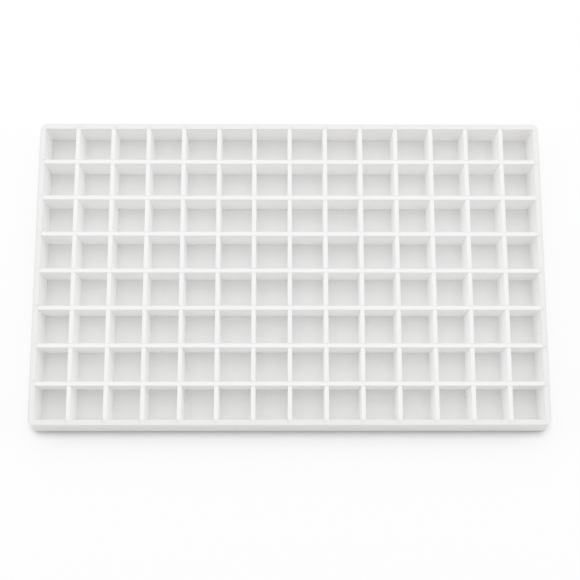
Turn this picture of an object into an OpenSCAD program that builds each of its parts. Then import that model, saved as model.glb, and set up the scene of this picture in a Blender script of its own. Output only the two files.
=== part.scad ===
// Mixing palette: a shallow tray whose inside is divided into a grid of deep, nearly square paint wells.
// The tray is one shell. The dividers are slats halved into each other where they cross, like an
// egg crate: the long ones are slotted from below, the cross ones from above, and the ends of all of
// them drop into shallow grooves in the tray's wall. X runs along the length, Y across and Z up.
// The origin is the centre of the base, on the surface that the palette stands on.

/* [Wells] */
// Number of wells along the length
columns = 14; // [2:1:14]
// Number of wells across the width
rows = 8; // [2:1:8]
// Distance between the middles of neighbouring cross dividers
pitch_x = 25; // [20:0.5:40]
// Distance between the middles of neighbouring long dividers
pitch_y = 26.2; // [20:0.1:40]
// Depth of the wells below the rim
well_depth = 25.5; // [12:0.5:40]

/* [Dividers] */
// Thickness of every divider
divider_t = 2.9; // [2:0.1:4]
// Radius of the two long top edges of a divider
crest_r = 0.5; // [0.2:0.1:0.9]
// Free play on each side of a divider, in its slots and grooves
side_play = 0.05; // [0.02:0.01:0.2]
// Free play above a slot's floor where two dividers are halved together
lap_play = 0.1; // [0.05:0.05:0.5]
// How far a groove for a divider's end goes into the wall
groove_depth = 1; // [0.4:0.1:1.5]

/* [Tray] */
// Width of the rim inside the grid's outermost line, where a divider would have its middle
rim_in = 1.9; // [1.5:0.1:3]
// Width of the rim outside that line
rim_out = 2; // [1.5:0.1:3]
// How far the outside of the wall spreads from the rim down to the base
flare = 2.1; // [0.5:0.1:4]
// Radius of the rim's four corners, seen from above
corner_r = 4.2; // [3:0.1:8]
// Radius of the four corners at the wall's lower edge, where they are tighter
base_corner_r = 2.4; // [2.2:0.1:6]
// Radius of the outer edge of the rim
rim_edge_r = 0.5; // [0.3:0.1:1.5]
// Radius of the outer edge of the base
base_edge_r = 0.7; // [0.3:0.1:1]
// Thickness of the floor
floor_t = 2; // [1:0.1:4]

/* [Foot ring] */
// Height of the foot ring, which keeps the wall's lower edge clear of the table
foot_h = 1.2; // [0.5:0.1:3]
// Distance of the foot ring from the wall's lower edge
foot_inset = 2.5; // [1:0.5:5]
// Width of the foot ring
foot_w = 3; // [2:0.5:8]

/* [Hidden] */
height = foot_h + floor_t + well_depth;
floor_top = foot_h + floor_t;
// Half sizes of the pocket that holds the dividers, and of the outline along the rim
pocket_x = columns * pitch_x / 2 - rim_in;
pocket_y = rows * pitch_y / 2 - rim_in;
rim_x = columns * pitch_x / 2 + rim_out;
rim_y = rows * pitch_y / 2 + rim_out;
// Lean of the outer wall from the vertical
lean = atan(flare / (height - foot_h));
// How far the middle of each edge's rounding lies inside the wall's own line
rim_pull = rim_edge_r * (1 - sin(lean)) / cos(lean);
base_pull = base_edge_r * (1 + sin(lean)) / cos(lean);
half_depth = well_depth / 2;
slot_w = divider_t + 2 * side_play;
end_play = 2 * side_play;
// Straight steps in the rounding of a divider's edge
arc_steps = 6;
// Straight steps in a full turn of the rings that the wall's outside is wrapped around
ring_steps = 32;
// How far a cut runs past the face it opens
past = 1;
// Smallest corner radius of the foot ring
min_corner_r = 0.5;
$fn = 48;

// Place of a divider, counted from 1, among the given number of wells
function place(i, wells, pitch) = (i - wells / 2) * pitch;

// Points of an arc about a centre, from one angle to another
function arc(centre, r, from, to) =
    [for (k = [0:arc_steps]) let (a = from + (to - from) * k / arc_steps) centre + r * [cos(a), sin(a)]];

// Four rings of round wire that lie flat at height z, with their middles at half_x and half_y.
// The wire runs at radius r and has the radius edge_r.
module corner_rings(half_x, half_y, r, edge_r, z) {
    for (side_x = [-1, 1], side_y = [-1, 1])
        translate([side_x * half_x, side_y * half_y, z])
            rotate_extrude($fn = ring_steps)
                translate([r, 0]) circle(edge_r, $fn = ring_steps);
}

// The tray's outside as one solid block, wrapped around the rings of the rim's and the base's corners.
// The wall spreads and its corners tighten on the way down.
module outside() {
    top_x = rim_x - corner_r;
    top_y = rim_y - corner_r;
    base_x = rim_x + flare - base_corner_r;
    base_y = rim_y + flare - base_corner_r;
    hull() {
        corner_rings(top_x, top_y, corner_r - rim_pull, rim_edge_r, height - rim_edge_r);
        corner_rings(base_x, base_y, base_corner_r - base_pull, base_edge_r, foot_h + base_edge_r);
    }
}

// Rounded rectangle that lies the given distance inside the outline of the wall's lower edge
module base_outline(inset) {
    half_x = rim_x + flare - inset;
    half_y = rim_y + flare - inset;
    r = max(base_corner_r - inset, min_corner_r);
    square([2 * half_x, 2 * (half_y - r)], center = true);
    square([2 * (half_x - r), 2 * half_y], center = true);
    for (side_x = [-1, 1], side_y = [-1, 1])
        translate([side_x * (half_x - r), side_y * (half_y - r)]) circle(r);
}

// Ring under the floor that the palette stands on
module foot_ring() {
    linear_extrude(foot_h)
        difference() {
            base_outline(foot_inset);
            base_outline(foot_inset + foot_w);
        }
}

// Block lying along X, centred in X and Y, with its underside at z
module bar(run, across, z, h) {
    translate([-run / 2, -across / 2, z]) cube([run, across, h]);
}

// Divider without its slots, lying along X, with both long top edges rounded
module slat(run) {
    side = divider_t / 2;
    crest = concat(
        [[-side, floor_top], [side, floor_top]],
        arc([side - crest_r, height - crest_r], crest_r, 0, 90),
        arc([crest_r - side, height - crest_r], crest_r, 90, 180)
    );
    rotate([90, 0, 90]) linear_extrude(run, center = true) polygon(crest);
}

// One-piece shell: floor, leaning wall, foot ring and the grooves for the dividers' ends
module outer_tray() {
    color([0.93, 0.93, 0.92]) {
        foot_ring();
        difference() {
            outside();
            bar(2 * pocket_x, 2 * pocket_y, floor_top, well_depth + past);
            for (i = [1:rows - 1])
                translate([0, place(i, rows, pitch_y), 0])
                    bar(2 * (pocket_x + groove_depth), slot_w, floor_top, well_depth + past);
            for (i = [1:columns - 1])
                translate([place(i, columns, pitch_x), 0, 0])
                    rotate([0, 0, 90])
                        bar(2 * (pocket_y + groove_depth), slot_w, floor_top, well_depth + past);
        }
    }
}

// Divider along the length, with a slot from below at every cross divider
module long_divider(i) {
    color([0.96, 0.96, 0.955])
        translate([0, place(i, rows, pitch_y), 0])
            difference() {
                slat(2 * (pocket_x + groove_depth) - end_play);
                for (k = [1:columns - 1])
                    translate([place(k, columns, pitch_x), 0, 0])
                        bar(slot_w, divider_t + past, floor_top - past, half_depth + past + lap_play / 2);
            }
}

// Divider across the width, with a slot from above at every long divider
module cross_divider(i) {
    color([0.95, 0.95, 0.945])
        translate([place(i, columns, pitch_x), 0, 0])
            rotate([0, 0, 90])
                difference() {
                    slat(2 * (pocket_y + groove_depth) - end_play);
                    for (k = [1:rows - 1])
                        translate([place(k, rows, pitch_y), 0, 0])
                            bar(slot_w, divider_t + past, floor_top + half_depth - lap_play / 2, well_depth);
                }
}

outer_tray();
for (i = [1:rows - 1])
    long_divider(i);
for (i = [1:columns - 1])
    cross_divider(i);
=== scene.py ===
import math

import bpy
import numpy as np
from bpy.props import FloatProperty, FloatVectorProperty, IntProperty, PointerProperty
from mathutils import Matrix, Vector


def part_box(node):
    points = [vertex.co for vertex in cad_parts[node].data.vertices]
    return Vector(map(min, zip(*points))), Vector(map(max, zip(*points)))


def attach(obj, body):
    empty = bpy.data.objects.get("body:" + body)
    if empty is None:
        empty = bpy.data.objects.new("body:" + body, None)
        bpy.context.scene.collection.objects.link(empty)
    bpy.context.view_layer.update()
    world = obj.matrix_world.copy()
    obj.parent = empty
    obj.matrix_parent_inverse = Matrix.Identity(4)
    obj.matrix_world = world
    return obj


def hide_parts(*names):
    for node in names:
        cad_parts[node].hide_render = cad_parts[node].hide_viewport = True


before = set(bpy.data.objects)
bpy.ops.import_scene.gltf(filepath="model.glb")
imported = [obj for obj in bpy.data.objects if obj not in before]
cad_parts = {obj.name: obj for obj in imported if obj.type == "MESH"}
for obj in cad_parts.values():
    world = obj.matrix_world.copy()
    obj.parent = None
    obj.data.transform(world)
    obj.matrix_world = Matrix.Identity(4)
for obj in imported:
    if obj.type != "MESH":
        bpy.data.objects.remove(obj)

bl_info = {
    "name": "Mixing palette",
    "version": (1, 0, 0),
    "blender": (4, 5, 0),
    "location": "3D View > Sidebar > Palette",
    "description": "Builds a many-well mixing palette: a tray shell and the slats that divide it",
    "category": "Add Mesh",
}

MM = 0.001
# Longest step of the tray's section that still belongs to a rounded edge
ROUNDED_STEP = 0.6 * MM
BODY = "root"
TRAY = "outer_tray"


def numbered(prefix):
    """Names of the frame's nodes that start with prefix, in the order of their numbers."""
    names = [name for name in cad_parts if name.startswith(prefix)]
    return sorted(names, key=lambda name: int(name.rsplit("_", 1)[1]))


LONG = numbered("long_divider_")
CROSS = numbered("cross_divider_")


def middle(node, axis):
    """Middle of a node's box along one axis."""
    low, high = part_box(node)
    return (low[axis] + high[axis]) / 2


TRAY_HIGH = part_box(TRAY)[1]
LONG_LOW, LONG_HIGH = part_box(LONG[0])
CROSS_LOW, CROSS_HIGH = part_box(CROSS[0])
LONG_PLACES = np.array([middle(name, 1) for name in LONG])
CROSS_PLACES = np.array([middle(name, 0) for name in CROSS])
TOP = TRAY_HIGH.z
FLOOR_TOP = LONG_LOW.z
SLAT_THICKNESS = LONG_HIGH.y - LONG_LOW.y


# ---------------------------------------------------------------- sizes and colours


class PaletteSizes(bpy.types.PropertyGroup):
    """Sizes of the palette that its boxes in the frame don't give."""

    flare: FloatProperty(
        name="Flare", default=2.1 * MM, min=0, unit="LENGTH", precision=5,
        description="How far the outside of the wall spreads down to the base")
    rim_in: FloatProperty(
        name="Rim inside", default=1.9 * MM, min=0, unit="LENGTH", precision=5,
        description="Width of the rim inside the grid's outermost line")
    rim_out: FloatProperty(
        name="Rim outside", default=2.0 * MM, min=0, unit="LENGTH", precision=5,
        description="Width of the rim outside the grid's outermost line")
    corner: FloatProperty(
        name="Corner radius", default=4.2 * MM, min=0, unit="LENGTH", precision=5,
        description="Radius of the rim's corners seen from above")
    base_corner: FloatProperty(
        name="Base corner radius", default=2.4 * MM, min=0, unit="LENGTH", precision=5,
        description="Radius of the corners at the wall's lower edge")
    rim_edge: FloatProperty(
        name="Rim edge", default=0.5 * MM, min=0, unit="LENGTH", precision=5,
        description="Rounding of the rim's outer edge")
    base_edge: FloatProperty(
        name="Base edge", default=0.7 * MM, min=0, unit="LENGTH", precision=5,
        description="Rounding of the wall's lower edge")
    mouth_edge: FloatProperty(
        name="Mouth edge", default=0.1 * MM, min=0, unit="LENGTH", precision=5,
        description="Rounding of the rim's inner edge")
    pocket_corner: FloatProperty(
        name="Pocket corner", default=0.2 * MM, min=0, unit="LENGTH", precision=5,
        description="Radius of the four upright inner corners")
    crest: FloatProperty(
        name="Crest", default=0.5 * MM, min=0, unit="LENGTH", precision=5,
        description="Rounding of the long top edges of a slat")
    crest_end: FloatProperty(
        name="Seated crest", default=0.1 * MM, min=0, unit="LENGTH", precision=5,
        description="Rounding of a slat's top edges inside its groove")
    nick: FloatProperty(
        name="Crest end", default=0.08 * MM, min=0, unit="LENGTH", precision=5,
        description="Rounding where a slat's crest ends at a slot or at the wall")
    play: FloatProperty(
        name="Side play", default=0.05 * MM, min=0, unit="LENGTH", precision=5,
        description="Gap on each side of a slat in its slots")
    seat_play: FloatProperty(
        name="Seat play", default=0.02 * MM, min=0, unit="LENGTH", precision=5,
        description="Gap round a slat's end in its groove")
    lap_play: FloatProperty(
        name="Lap play", default=0.1 * MM, min=0, unit="LENGTH", precision=5,
        description="Gap above a slot's floor where two slats cross")
    foot_height: FloatProperty(
        name="Foot height", default=1.2 * MM, min=0, unit="LENGTH", precision=5,
        description="Height of the foot ring")
    foot_inset: FloatProperty(
        name="Foot inset", default=2.5 * MM, min=0, unit="LENGTH", precision=5,
        description="Distance of the foot ring from the wall's lower edge")
    foot_width: FloatProperty(
        name="Foot width", default=3.0 * MM, min=0, unit="LENGTH", precision=5,
        description="Width of the foot ring")
    foot_corner: FloatProperty(
        name="Foot corner radius", default=0.5 * MM, min=0, unit="LENGTH", precision=5,
        description="Radius of the foot ring's corners")
    foot_edge: FloatProperty(
        name="Foot edge", default=0.3 * MM, min=0, unit="LENGTH", precision=5,
        description="Rounding of the foot ring's lower edges")
    arc_steps: IntProperty(
        name="Arc steps", default=6, min=2, max=16,
        description="Steps in each rounded edge")


class PaletteFinish(bpy.types.PropertyGroup):
    """Colours and surface of the moulded plastic."""

    tray_colour: FloatVectorProperty(
        name="Tray wall", default=(0.915, 0.912, 0.905), size=3, min=0, max=1, subtype="COLOR",
        description="Colour of the tray's wall")
    # Painted shade: the wells' floors are painted greyer than the walls, standing in for the shade deep in
    # the wells
    shaded_floor_colour: FloatVectorProperty(
        name="Well floors", default=(0.80, 0.80, 0.80), size=3, min=0, max=1, subtype="COLOR",
        description="Colour of the wells' floors, a little greyer")
    # Painted shade: the rim is painted darker than the tray's wall, against the light on its top and to set
    # it off from the white sheet
    rim_shade_colour: FloatVectorProperty(
        name="Rim", default=(0.75, 0.748, 0.742), size=3, min=0, max=1, subtype="COLOR",
        description="Colour of the tray's shaded rim")
    # Painted shade: the tray's leaning outer wall and rounded rim edge are painted darker, standing in for
    # the shade from the dim sides and front
    outside_shade_colour: FloatVectorProperty(
        name="Outside", default=(0.665, 0.658, 0.644), size=3, min=0, max=1, subtype="COLOR",
        description="Colour of the tray's shaded outside")
    slat_colour: FloatVectorProperty(
        name="Slats", default=(0.96, 0.958, 0.954), size=3, min=0, max=1, subtype="COLOR",
        description="Colour of the dividing slats")
    # Painted shade: the slats' tops are painted darker than their lighter sides, tempering the extra light
    # the tops get
    crest_shade_colour: FloatVectorProperty(
        name="Crests", default=(0.855, 0.853, 0.848), size=3, min=0, max=1, subtype="COLOR",
        description="Colour of the slats' rubbed top edges")
    roughness: FloatProperty(
        name="Roughness", default=0.42, min=0, max=1, subtype="FACTOR",
        description="Mean roughness of the satin plastic")
    grain: FloatProperty(
        name="Grain", default=0.45 * MM, min=0, unit="LENGTH", precision=5,
        description="Size of the fine moulded grain")


class PaletteStudio(bpy.types.PropertyGroup):
    """Camera and lights of the studio."""

    azimuth: FloatProperty(
        name="Azimuth", default=math.radians(-2.394), subtype="ANGLE",
        description="Turn of the camera about the palette")
    elevation: FloatProperty(
        name="Elevation", default=math.radians(78.932), subtype="ANGLE",
        description="Height of the camera above the horizon")
    roll: FloatProperty(
        name="Roll", default=math.radians(2.378), subtype="ANGLE",
        description="Turn of the camera about its own axis")
    distance: FloatProperty(
        name="Distance", default=0.76, min=0.1, unit="LENGTH",
        description="Distance from the camera to the point it looks at")
    aim: FloatVectorProperty(
        name="Aim", default=(0.1 * MM, -13.65 * MM), size=2, unit="LENGTH", precision=5,
        description="Point on the rim plane that the camera looks at")
    lens: FloatProperty(
        name="Lens", default=68.27, min=10, subtype="DISTANCE_CAMERA",
        description="Focal length on a 36 mm wide sensor")


# ---------------------------------------------------------------- meshes from arrays


def new_piece(name, points, faces, smooth):
    """Mesh object from points (n, 3) and matching lists of face arrays (m, k) and smooth flags (m,)."""
    points = np.ascontiguousarray(points, dtype=np.float32)
    counts = np.concatenate([np.full(len(rows), rows.shape[1], np.int32) for rows in faces])
    loops = np.concatenate([rows.ravel() for rows in faces]).astype(np.int32)
    starts = np.concatenate([[0], np.cumsum(counts)[:-1]]).astype(np.int32)
    mesh = bpy.data.meshes.new(name)
    mesh.vertices.add(len(points))
    mesh.vertices.foreach_set("co", points.ravel())
    mesh.loops.add(len(loops))
    mesh.loops.foreach_set("vertex_index", loops)
    mesh.polygons.add(len(counts))
    mesh.polygons.foreach_set("loop_start", starts)
    mesh.polygons.foreach_set("loop_total", counts)
    mesh.polygons.foreach_set("use_smooth", np.concatenate(smooth).astype(bool))
    mesh.update(calc_edges=True)
    if mesh.validate(verbose=False):
        raise RuntimeError(f"{name}: the mesh had faulty faces")
    piece = bpy.data.objects.new(name, mesh)
    bpy.context.scene.collection.objects.link(piece)
    return piece


def quarter(steps):
    """Angles of a quarter turn, from 0 to 90 degrees, in equal steps."""
    return np.linspace(0, math.pi / 2, steps + 1)


def slat_surface(run, low, high, cuts, from_top, seated, sizes):
    """Divider along X as a section carried along its run.

    The section is a rectangle from low to high whose two upper corners are quarter circles. Their radius is
    sizes.crest, and falls evenly to sizes.crest_end over the last stretch before the length that is seated
    in the wall. The section has a lower band and an upper band. Where a slot is cut, one of the two bands is
    left out between two stations. Where the upper band ends, its top falls away along a quarter circle of
    radius nick: at a distance nick * (1 - cos a) from the end it lies nick * (1 - sin a) lower.
    """
    crest, nick = sizes.crest, sizes.nick
    turn = quarter(sizes.arc_steps)
    side = SLAT_THICKNESS / 2
    cut_width = SLAT_THICKNESS + 2 * sizes.play
    mid = (low + high + (-sizes.lap_play if from_top else sizes.lap_play)) / 2

    # Stations along the run: each end of the upper band is a rounded fall of several stations
    fall = nick * (1 - np.cos(turn))
    drop = nick * (1 - np.sin(turn))
    start, end = -run / 2, run / 2
    edges = np.sort(np.concatenate([cuts - cut_width / 2, cuts + cut_width / 2]))
    if from_top:
        bounds = np.concatenate([[start], edges, [end]]).reshape(-1, 2)
        x = np.concatenate([np.concatenate([a + fall, (b - fall)[::-1]]) for a, b in bounds])
        dip = np.tile(np.concatenate([drop, drop[::-1]]), len(bounds))
    else:
        x = np.concatenate([start + fall, edges, (end - fall)[::-1]])
        dip = np.concatenate([drop, np.zeros(len(edges)), drop[::-1]])
    # Two more at each end, where the crest's rounding begins and stops shrinking
    seat = end - seated - np.array([crest, 0])
    x = np.concatenate([x, seat, -seat])
    order = np.argsort(x, kind="stable")
    x, dip = x[order], np.concatenate([dip, np.zeros(4)])[order]
    centre = (x[:-1] + x[1:]) / 2
    in_slot = (np.abs(centre[:, None] - cuts) < cut_width / 2).any(1)
    lower = np.ones(len(centre), bool) if from_top else ~in_slot
    upper = ~in_slot if from_top else np.ones(len(centre), bool)

    radius = np.interp(np.abs(x), seat, [crest, sizes.crest_end])[:, None]
    arc_y = side - radius + radius * np.cos(turn)
    arc_z = high - radius + radius * np.sin(turn) - dip[:, None]
    flank = np.full((len(x), 2), side)
    rise = np.broadcast_to([low, mid], flank.shape)
    y = np.concatenate([-flank, -arc_y, arc_y[:, ::-1], flank], 1)
    z = np.concatenate([rise, arc_z, arc_z[:, ::-1], rise[:, ::-1]], 1)
    last = y.shape[1] - 1
    points = np.stack([np.broadcast_to(x[:, None], y.shape), y, z], -1)
    index = np.arange(points.shape[0] * points.shape[1]).reshape(points.shape[:2])

    def strip(segments, a, b):
        """Quads between profile points a and b along the chosen segments."""
        s = np.flatnonzero(segments)
        return np.stack([index[s, a], index[s + 1, a], index[s + 1, b], index[s, b]], 1)

    flat = [strip(lower, 0, 1), strip(lower, last - 1, last), strip(lower, last, 0)]
    flat += [strip(upper, 1, 2), strip(upper, last - 2, last - 1)]
    flat += [strip(upper & ~lower, last - 1, 1), strip(lower & ~upper, 1, last - 1)]
    rounded = [strip(upper, p, p + 1) for p in range(2, last - 2)]

    def walls(band, ring):
        """Upright faces where a band begins, looking back along the run, and where it ends, looking ahead."""
        padded = np.concatenate([[False], band, [False]])
        begins = np.flatnonzero(padded[1:] & ~padded[:-1])
        finishes = np.flatnonzero(padded[:-1] & ~padded[1:])
        return [index[begins][:, ring], index[finishes][:, ring[::-1]]]

    flat += walls(lower, np.array([0, 1, last - 1, last]))
    caps = walls(upper, np.arange(1, last))
    smooth = [np.full(len(rows), soft) for group, soft in ((flat, False), (rounded, True), (caps, False))
              for rows in group]
    return points.reshape(-1, 3), flat + rounded + caps, smooth


def wall_side(places, slot, groove, half_inner):
    """One side of the pocket in its own axes, t along it and o outwards: inner line, mitre, and outer t.

    Each groove is four points: in along one flank, across its bottom and out along the other flank. The
    mitre is the sum of the directions, away from the pocket, of the two edges that meet at a point, so that
    point + r * mitre is the same line moved r into the wall.
    """
    step = np.array([-1, -1, 1, 1]) / 2
    t = places[:, None] + slot * step
    o = np.broadcast_to(groove * np.array([0, 1, 1, 0]), t.shape)
    mitre_t = np.broadcast_to(np.array([-1, -1, 1, 1.0]), t.shape)
    outer_t = places[:, None] + slot * np.array([-3, -1, 1, 3]) / 6
    inner = np.stack([t.ravel(), half_inner + o.ravel()], 1)
    mitre = np.stack([mitre_t.ravel(), np.ones(t.size)], 1)
    return inner, mitre, outer_t.ravel()


def turned(points, quarter_turns):
    """Points in a side's own axes (t, o), o pointing to -Y, after some quarter turns anticlockwise."""
    t, o = points[..., 0], points[..., 1]
    x, y = t, -o
    for _ in range(quarter_turns):
        x, y = -y, x
    return np.stack([x, y], -1)


def tray_surface(sizes):
    """Tray shell as one closed surface: a wall section carried round a rounded rectangle, and two flats.

    A station is a place along the way round. Outside, a point of the section is
    centre + shift * push + d * way: centre runs along the rectangle of the rim's corner centres, push moves
    that rectangle outwards, and way points outwards, turning through the corners at the radius d. Inside, it
    is the pocket's line moved by r * mitre. The section runs from the underside round the foot, up the
    leaning wall, over the rim and down the pocket's wall.
    """
    slot = SLAT_THICKNESS + 2 * sizes.seat_play
    rim, pocket = half_outlines(sizes)
    groove = seated_length(sizes) + sizes.seat_play
    straight = rim - sizes.corner
    inner, mitre, centre, push, way = [], [], [], [], []
    turn = quarter(sizes.arc_steps)
    for side in range(4):
        along, across = (0, 1) if side % 2 == 0 else (1, 0)
        places = (CROSS_PLACES, LONG_PLACES)[along] * (1, 1, -1, -1)[side]
        line, line_mitre, outer_t = wall_side(np.sort(places), slot, groove, pocket[across])
        inner.append(turned(line, side))
        mitre.append(turned(line_mitre, side))
        centre.append(turned(np.stack([outer_t, np.full(len(outer_t), straight[across])], 1), side))
        way.append(turned(np.tile([0.0, 1.0], (len(outer_t), 1)), side))
        push.append(way[-1])
        corner_way = turned(np.stack([np.sin(turn), np.cos(turn)], 1), side)
        inner_centre = turned(pocket[[along, across]] - sizes.pocket_corner, side)
        inner.append(inner_centre + sizes.pocket_corner * corner_way)
        mitre.append(corner_way)
        centre.append(np.broadcast_to(turned(straight[[along, across]], side), corner_way.shape))
        push.append(np.broadcast_to(turned(np.ones(2), side), corner_way.shape))
        way.append(corner_way)
    inner, mitre, centre, push, way = map(np.concatenate, (inner, mitre, centre, push, way))

    r = sizes.mouth_edge
    inner_rows = [(r * (1 - math.sin(a)), TOP - r * (1 - math.cos(a))) for a in turn] + [(0.0, FLOOR_TOP)]
    rings = [np.column_stack([centre + s * push + d * way, np.full(len(way), z)])
             for s, d, z in outer_section(sizes)]
    rings += [np.column_stack([inner + d * mitre, np.full(len(way), z)]) for d, z in inner_rows]
    points = np.array(rings)
    index = np.arange(points.shape[0] * points.shape[1]).reshape(points.shape[:2])
    ahead = np.roll(index, -1, axis=1)
    quads = np.stack([index[:-1], ahead[:-1], ahead[1:], index[1:]], -1)
    # Only short steps of the section belong to a rounded edge
    rounded = np.linalg.norm(np.diff(points[:, 0], axis=0), axis=1) < ROUNDED_STEP
    # A corner's faces turn with it, so they are smooth all the way up
    turning = np.linalg.norm(np.roll(way, -1, axis=0) - way, axis=1) > 1e-6
    smooth = rounded[:, None] | turning
    faces = [quads.reshape(-1, 4), index[:1, ::-1], index[-1:]]
    flags = [smooth.ravel(), np.zeros(1, bool), np.zeros(1, bool)]
    return points.reshape(-1, 3), faces, flags


def half_outlines(sizes):
    """Half the length and width of the rim's outline and of the pocket's."""
    rim = np.array([TRAY_HIGH.x, TRAY_HIGH.y]) - lower_edge_reach(sizes)
    return rim, rim - sizes.rim_in - sizes.rim_out


def seated_length(sizes):
    """How much of a slat's end lies in its groove in the wall."""
    return LONG_HIGH.x - half_outlines(sizes)[1][0]


def lean(sizes):
    """Angle of the outer wall from the vertical."""
    return math.atan2(sizes.flare, TOP - sizes.foot_height)


def lower_edge_reach(sizes):
    """How far the rounded lower edge reaches outside the rim's outline."""
    a, r = lean(sizes), sizes.base_edge
    return sizes.flare - r * (1 + math.sin(a)) / math.cos(a) + r


def outer_section(sizes):
    """Section of the wall's outside as (shift, radius, height) from the underside to the rim's flat top.

    Shift is how far the corners' centres lie outside those of the rim, and radius is measured from them. The
    rounded edges are arcs tangent to the flat underside, the leaning side and the flat rim.
    """
    a, r, e, f = lean(sizes), sizes.rim_edge, sizes.base_edge, sizes.foot_edge
    steps = sizes.arc_steps
    low = sizes.foot_height
    turn = quarter(steps)
    spread = sizes.corner + sizes.flare
    foot = sizes.foot_corner
    foot_shift = spread - sizes.foot_inset - foot
    inner_shift = foot_shift - sizes.foot_width
    base_shift = spread - sizes.base_corner
    base = sizes.base_corner - e * (1 + math.sin(a)) / math.cos(a)
    rim = sizes.corner - r * (1 - math.sin(a)) / math.cos(a)
    rows = [(inner_shift, foot, low)]
    rows += [(inner_shift, foot + f * (1 - math.cos(t)), f * (1 - math.sin(t))) for t in turn]
    rows += [(foot_shift, foot - f * (1 - math.sin(t)), f * (1 - math.cos(t))) for t in turn]
    rows += [(foot_shift, foot, low)]
    rows += [(base_shift, base + e * math.cos(t), low + e + e * math.sin(t))
             for t in np.linspace(-math.pi / 2, a, steps + 2)]
    rows += [(0.0, rim + r * math.cos(t), TOP - r + r * math.sin(t))
             for t in np.linspace(a, math.pi / 2, steps + 2)]
    return rows


# ---------------------------------------------------------------- materials

# How near a well's floor a face has to lie to take the floor's painted shade
FLOOR_SHADE_REACH = 0.25 * MM
# Depths below the rim between which the top edges' painted shade comes in: the tops are painted darker than
# the walls below
TOP_SHADE_START = 1.2 * MM
TOP_SHADE_FULL = 0.3 * MM
# Distances inside the tray's box at which a slat's top takes the rim's painted shade, and the rim takes the
# outside's painted shade
RIM_SHADE_INSET = 7.2 * MM
RIM_SHADE_EDGE = 1.6 * MM
OUTSIDE_SHADE_INSET = 2.95 * MM
OUTSIDE_SHADE_EDGE = 0.35 * MM
# Stretch of the rubbed streaks that run along the length and across the width
RUBS_ALONG = (60.0, 1500.0, 60.0)
RUBS_ACROSS = (1500.0, 60.0, 60.0)
# How far the shade beside a piece reaches over the sheet, and how strong it is
SHADE_REACH = 6.5 * MM
SHADE_STRENGTH = 1.15


class Wire:
    """An output socket of a material's nodes. Sums written with it add Math nodes."""

    def __init__(self, board, socket):
        self.board = board
        self.socket = socket

    def maths(self, operation, first, second):
        return self.board.add("ShaderNodeMath", {"operation": operation}, {0: first, 1: second})

    def __add__(self, other):
        return self.maths("ADD", self, other)

    def __sub__(self, other):
        return self.maths("SUBTRACT", self, other)

    def __rsub__(self, other):
        return self.maths("SUBTRACT", other, self)

    def __mul__(self, other):
        return self.maths("MULTIPLY", self, other)

    def larger(self, other):
        return self.maths("MAXIMUM", self, other)

    __radd__ = __add__
    __rmul__ = __mul__


class Board:
    """The node tree of a new material."""

    def __init__(self, name):
        self.material = bpy.data.materials.new(name)
        self.material.use_nodes = True
        self.tree = self.material.node_tree
        self.tree.nodes.clear()

    def add(self, kind, settings=None, inputs=None, output=0):
        """Adds a node by its type, its settings and the values or wires of its sockets. Returns an output."""
        node = self.tree.nodes.new(kind)
        for key, value in (settings or {}).items():
            setattr(node, key, value)
        for key, value in (inputs or {}).items():
            if isinstance(value, Wire):
                self.tree.links.new(value.socket, node.inputs[key])
            else:
                node.inputs[key].default_value = value
        return Wire(self, node.outputs[output]) if node.outputs else None

    def size(self, wire):
        """A value without its sign."""
        return self.add("ShaderNodeMath", {"operation": "ABSOLUTE"}, {0: wire})

    def rising(self, wire, low, high):
        """0 below low, 1 above high, and a smooth step between them."""
        return self.add("ShaderNodeMapRange", {"interpolation_type": "SMOOTHSTEP"}, {
            "Value": wire, "From Min": low, "From Max": high})

    def streaks(self, stretched):
        """Sparse fine lines, 0 to 1, from noise on stretched coordinates."""
        noise = self.add("ShaderNodeTexNoise", inputs={"Vector": stretched, "Scale": 1.0, "Detail": 1.0})
        return self.rising(noise, 0.62, 0.74)

    def mixed(self, factor, first, second):
        """A colour between two others."""
        return self.add("ShaderNodeMix", {"data_type": "RGBA"}, {"Factor": factor, 6: first, 7: second}, 2)


def beyond(board, x, y, inset, width):
    """0 inside and 1 outside the rectangle that lies inset within the tray's box, with a soft edge."""
    past = (board.size(x) - (TRAY_HIGH.x - inset)).larger(board.size(y) - (TRAY_HIGH.y - inset))
    return board.rising(past, 0.0, width)


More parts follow.
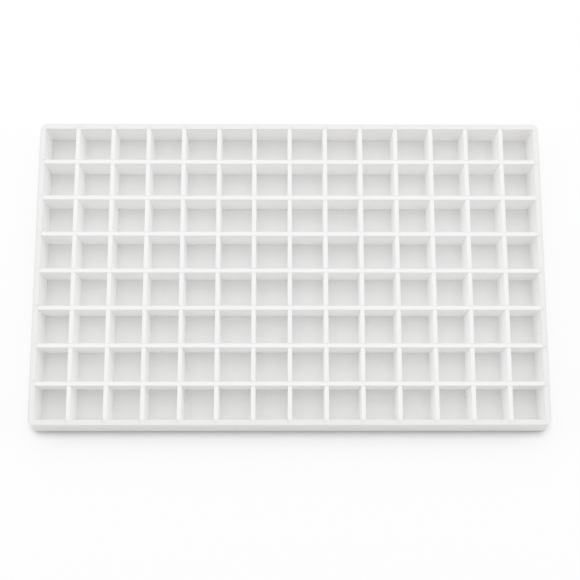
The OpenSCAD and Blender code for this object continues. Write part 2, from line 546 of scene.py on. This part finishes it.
def moulded_plastic(name, colour, top, finish, floor=None, outside=None):
    """Satin white plastic from a mould: a slow drift in tone, a fine grain, and faint rubbed streaks.

    The top edges are painted darker than the walls below, painted shade that tempers the light the tops get,
    and it runs into the rim's darker painted tone at the tray's wall. Where colours for them are given, the
    wells' floors and the tray's outside take painted shade too.
    """
    board = Board(name)
    place = board.add("ShaderNodeTexCoord", output="Object")
    x, y, height = (board.add("ShaderNodeSeparateXYZ", inputs={0: place}, output=axis) for axis in range(3))
    drift = board.add("ShaderNodeTexNoise", inputs={"Vector": place, "Scale": 14.0, "Detail": 2.0})
    cloud = board.add("ShaderNodeTexNoise", inputs={"Vector": place, "Scale": 90.0, "Detail": 3.0})
    fine = board.add("ShaderNodeTexNoise", inputs={"Vector": place, "Scale": 1 / finish.grain, "Detail": 2.0})
    base = (*colour, 1)
    if floor:
        # Painted shade: faces at a well's floor take the greyer floor colour
        floor_shade_mask = board.add("ShaderNodeMath", {"operation": "COMPARE"}, {
            0: height, 1: FLOOR_TOP, 2: FLOOR_SHADE_REACH})
        base = board.mixed(floor_shade_mask, base, (*floor, 1))
    # Painted shade: the top 1.2 mm of each piece takes the darker crest tone, or near the tray's wall the
    # rim's
    painted_top_mask = board.rising(height, TOP - TOP_SHADE_START, TOP - TOP_SHADE_FULL)
    at_wall = beyond(board, x, y, RIM_SHADE_INSET, RIM_SHADE_EDGE)
    base = board.mixed(painted_top_mask, base, board.mixed(at_wall, (*top, 1), (*finish.rim_shade_colour, 1)))
    if outside:
        # Painted shade: the outer 2.95 mm of the tray's box takes the darker outside colour
        base = board.mixed(beyond(board, x, y, OUTSIDE_SHADE_INSET, OUTSIDE_SHADE_EDGE), base, (*outside, 1))
    along = board.add("ShaderNodeVectorMath", {"operation": "MULTIPLY"}, {0: place, 1: RUBS_ALONG})
    across = board.add("ShaderNodeVectorMath", {"operation": "MULTIPLY"}, {0: place, 1: RUBS_ACROSS})
    rubs = board.streaks(along) + board.streaks(across)
    # The tone varies by a percent or two, the roughness more, and a rubbed streak is darker and smoother
    shading = 1.0 + (drift - 0.5) * 0.02 + (cloud - 0.5) * 0.015 - rubs * 0.012
    tint = board.add("ShaderNodeVectorMath", {"operation": "SCALE"}, {0: base, "Scale": shading})
    rough = finish.roughness + (cloud - 0.5) * 0.12 + (fine - 0.5) * 0.08 - rubs * 0.1
    bump = board.add("ShaderNodeBump", inputs={
        "Height": fine + cloud * 0.6, "Strength": 0.12, "Distance": 0.02 * MM})
    shader = board.add("ShaderNodeBsdfPrincipled", inputs={
        "Base Color": tint, "Roughness": rough, "Normal": bump, "IOR": 1.46, "Specular IOR Level": 0.5})
    board.add("ShaderNodeOutputMaterial", inputs={"Surface": shader})
    return board.material


def floor_sheet(name):
    """Plain white seamless sheet that glows slightly, so that it stays white, with a shade beside the pieces.

    Within reach of a piece the sheet darkens by how much of the sky the piece covers there.
    """
    board = Board(name)
    place = board.add("ShaderNodeTexCoord", output="Object")
    tooth = board.add("ShaderNodeTexNoise", inputs={"Vector": place, "Scale": 700.0, "Detail": 2.0})
    bump = board.add("ShaderNodeBump", inputs={"Height": tooth, "Strength": 0.05, "Distance": 0.05 * MM})
    open_sky = board.add("ShaderNodeAmbientOcclusion", {"samples": 8}, {"Distance": SHADE_REACH}, "AO")
    shade = 1.0 - (1.0 - open_sky) * SHADE_STRENGTH
    white = board.add("ShaderNodeVectorMath", {"operation": "SCALE"}, {0: (0.97, 0.97, 0.97), "Scale": shade})
    glow = board.add("ShaderNodeVectorMath", {"operation": "SCALE"}, {0: (1, 1, 1), "Scale": shade})
    shader = board.add("ShaderNodeBsdfPrincipled", inputs={
        "Base Color": white, "Roughness": 0.9, "Specular IOR Level": 0.1, "Normal": bump,
        "Emission Color": glow, "Emission Strength": 0.12})
    board.add("ShaderNodeOutputMaterial", inputs={"Surface": shader})
    return board.material


def finished(piece, material, slot, *nodes):
    """Gives a piece its material and its body, and hides the nodes that it stands for; slot is not used."""
    piece.data.materials.clear()
    piece.data.materials.append(material)
    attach(piece, BODY)
    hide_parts(*nodes)


def slat_material(scene):
    """The slats' plastic, made once."""
    finish = scene.palette_finish
    return bpy.data.materials.get("slat_plastic") or moulded_plastic(
        "slat_plastic", finish.slat_colour, finish.crest_shade_colour, finish)


# ---------------------------------------------------------------- operators


class PALETTE_OT_tray_shell(bpy.types.Operator):
    """Builds the tray shell: floor, leaning wall, rim, foot ring and the grooves for the slats' ends"""

    bl_idname = "palette.tray_shell"
    bl_label = "Tray shell"

    def execute(self, context):
        finish = context.scene.palette_finish
        piece = new_piece("tray_shell", *tray_surface(context.scene.palette_sizes))
        plastic = moulded_plastic("tray_plastic", finish.tray_colour, finish.rim_shade_colour, finish,
                                  finish.shaded_floor_colour, finish.outside_shade_colour)
        finished(piece, plastic, "tray_plastic", TRAY)
        return {"FINISHED"}


class PALETTE_OT_long_slats(bpy.types.Operator):
    """Builds the slats along the length, slotted from below"""

    bl_idname = "palette.long_slats"
    bl_label = "Long slats"

    def execute(self, context):
        sizes = context.scene.palette_sizes
        for node, place in zip(LONG, LONG_PLACES):
            points, faces, smooth = slat_surface(
                LONG_HIGH.x - LONG_LOW.x, FLOOR_TOP, TOP, CROSS_PLACES, False, seated_length(sizes), sizes)
            points = points + [0, place, 0]
            piece = new_piece(node.replace("divider", "slat"), points, faces, smooth)
            finished(piece, slat_material(context.scene), "divider_plastic", node)
        return {"FINISHED"}


class PALETTE_OT_cross_slats(bpy.types.Operator):
    """Builds the slats across the width, slotted from above"""

    bl_idname = "palette.cross_slats"
    bl_label = "Cross slats"

    def execute(self, context):
        sizes = context.scene.palette_sizes
        for node, place in zip(CROSS, CROSS_PLACES):
            points, faces, smooth = slat_surface(
                CROSS_HIGH.y - CROSS_LOW.y, FLOOR_TOP, TOP, LONG_PLACES, True, seated_length(sizes), sizes)
            points = points[:, [1, 0, 2]] * [-1, 1, 1] + [place, 0, 0]
            piece = new_piece(node.replace("divider", "slat"), points, faces, smooth)
            finished(piece, slat_material(context.scene), "divider_plastic", node)
        return {"FINISHED"}


# Name, place, width and depth in metres and power in watts of each light, which all face the origin
SOFTBOXES = (
    ("top_softbox", (0, 0.45, 1.5), 1.6, 1.0, 4.6),
    ("rear_panel", (0, 1.1, 1.3), 2.6, 1.6, 6.1),
    ("left_softbox", (-1.3, 0.1, 0.9), 0.9, 1.2, 5.3),
    ("right_softbox", (1.3, 0.1, 0.9), 0.9, 1.2, 4.9),
)
SKY_STRENGTH = 0.37
# Half the side of the studio's square floor
FLOOR_REACH = 3.0


def softbox(name, place, width, depth, power):
    """A rectangular area light that faces the origin."""
    light = bpy.data.lights.new(name, "AREA")
    light.shape = "RECTANGLE"
    light.size = width
    light.size_y = depth
    light.energy = power
    lamp = bpy.data.objects.new(name, light)
    lamp.location = place
    lamp.rotation_euler = (-Vector(place)).to_track_quat("-Z", "Y").to_euler()
    bpy.context.scene.collection.objects.link(lamp)


def camera_response(view):
    """The camera's tone curve y = 1 - (1 - x)^2: steep in the shadows, easing into white."""
    view.view_transform = "Standard"
    view.use_curve_mapping = True
    curve = view.curve_mapping.curves[3]
    for x in np.linspace(0, 1, 9)[1:-1]:
        curve.points.new(x, 1 - (1 - x) ** 2)
    view.curve_mapping.update()


def camera_matrix(studio):
    """Camera turned by azimuth and elevation about the aim, then rolled about its own axis."""
    a, e, r = studio.azimuth, studio.elevation, studio.roll
    back = Vector((math.sin(a) * math.cos(e), -math.cos(a) * math.cos(e), math.sin(e)))
    right = (-back).cross(Vector((0, 0, 1))).normalized()
    up = right.cross(-back)
    x = right * math.cos(r) + up * math.sin(r)
    y = -right * math.sin(r) + up * math.cos(r)
    place = Vector((*studio.aim, TOP)) + back * studio.distance
    return Matrix.Translation(place) @ Matrix((x, y, back)).transposed().to_4x4()


class PALETTE_OT_studio(bpy.types.Operator):
    """Sets up the white floor, the soft light and the camera"""

    bl_idname = "palette.studio"
    bl_label = "Studio"

    def execute(self, context):
        scene = context.scene
        studio = scene.palette_studio
        reach = np.linspace(-FLOOR_REACH, FLOOR_REACH, 25)
        x, y = np.meshgrid(reach, reach, indexing="ij")
        points = np.column_stack([x.ravel(), y.ravel(), np.zeros(x.size)])
        index = np.arange(x.size).reshape(x.shape)
        quads = np.stack([index[:-1, :-1], index[1:, :-1], index[1:, 1:], index[:-1, 1:]], -1).reshape(-1, 4)
        floor = new_piece("studio_floor", points, [quads], [np.zeros(len(quads), bool)])
        floor.data.materials.append(floor_sheet("seamless_sheet"))

        world = bpy.data.worlds.new("studio_world")
        world.use_nodes = True
        sky = world.node_tree.nodes["Background"]
        sky.inputs["Color"].default_value = (1, 1, 1, 1)
        sky.inputs["Strength"].default_value = SKY_STRENGTH
        scene.world = world
        for light in SOFTBOXES:
            softbox(*light)
        # Light reaches the bottoms of the wells only by many turns between white walls
        scene.cycles.diffuse_bounces = 12
        camera_response(scene.view_settings)

        lens = bpy.data.cameras.new("studio_camera")
        lens.sensor_width = 36.0
        lens.lens = studio.lens
        lens.clip_start = 0.01
        camera = bpy.data.objects.new("studio_camera", lens)
        camera.matrix_world = camera_matrix(studio)
        scene.collection.objects.link(camera)
        scene.camera = camera
        return {"FINISHED"}


class PALETTE_PT_sidebar(bpy.types.Panel):
    """Buttons and sizes of the palette in the 3D view's sidebar"""

    bl_idname = "PALETTE_PT_sidebar"
    bl_label = "Mixing palette"
    bl_space_type = "VIEW_3D"
    bl_region_type = "UI"
    bl_category = "Palette"

    def draw(self, context):
        for name in GROUPS:
            group = getattr(context.scene, name)
            box = self.layout.box()
            for key in group.__annotations__:
                box.prop(group, key)
        for operator in OPERATORS:
            self.layout.operator(operator.bl_idname)


GROUPS = {"palette_sizes": PaletteSizes, "palette_finish": PaletteFinish, "palette_studio": PaletteStudio}
OPERATORS = (PALETTE_OT_tray_shell, PALETTE_OT_long_slats, PALETTE_OT_cross_slats, PALETTE_OT_studio)


def register():
    for group in GROUPS.values():
        bpy.utils.register_class(group)
    for name, group in GROUPS.items():
        setattr(bpy.types.Scene, name, PointerProperty(type=group))
    for operator in OPERATORS:
        bpy.utils.register_class(operator)
    bpy.utils.register_class(PALETTE_PT_sidebar)


def unregister():
    bpy.utils.unregister_class(PALETTE_PT_sidebar)
    for operator in reversed(OPERATORS):
        bpy.utils.unregister_class(operator)
    for name, group in GROUPS.items():
        delattr(bpy.types.Scene, name)
        bpy.utils.unregister_class(group)


def main():
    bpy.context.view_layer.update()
    register()
    bpy.ops.palette.tray_shell()
    bpy.ops.palette.long_slats()
    bpy.ops.palette.cross_slats()
    bpy.ops.palette.studio()


if __name__ == "__main__":
    main()
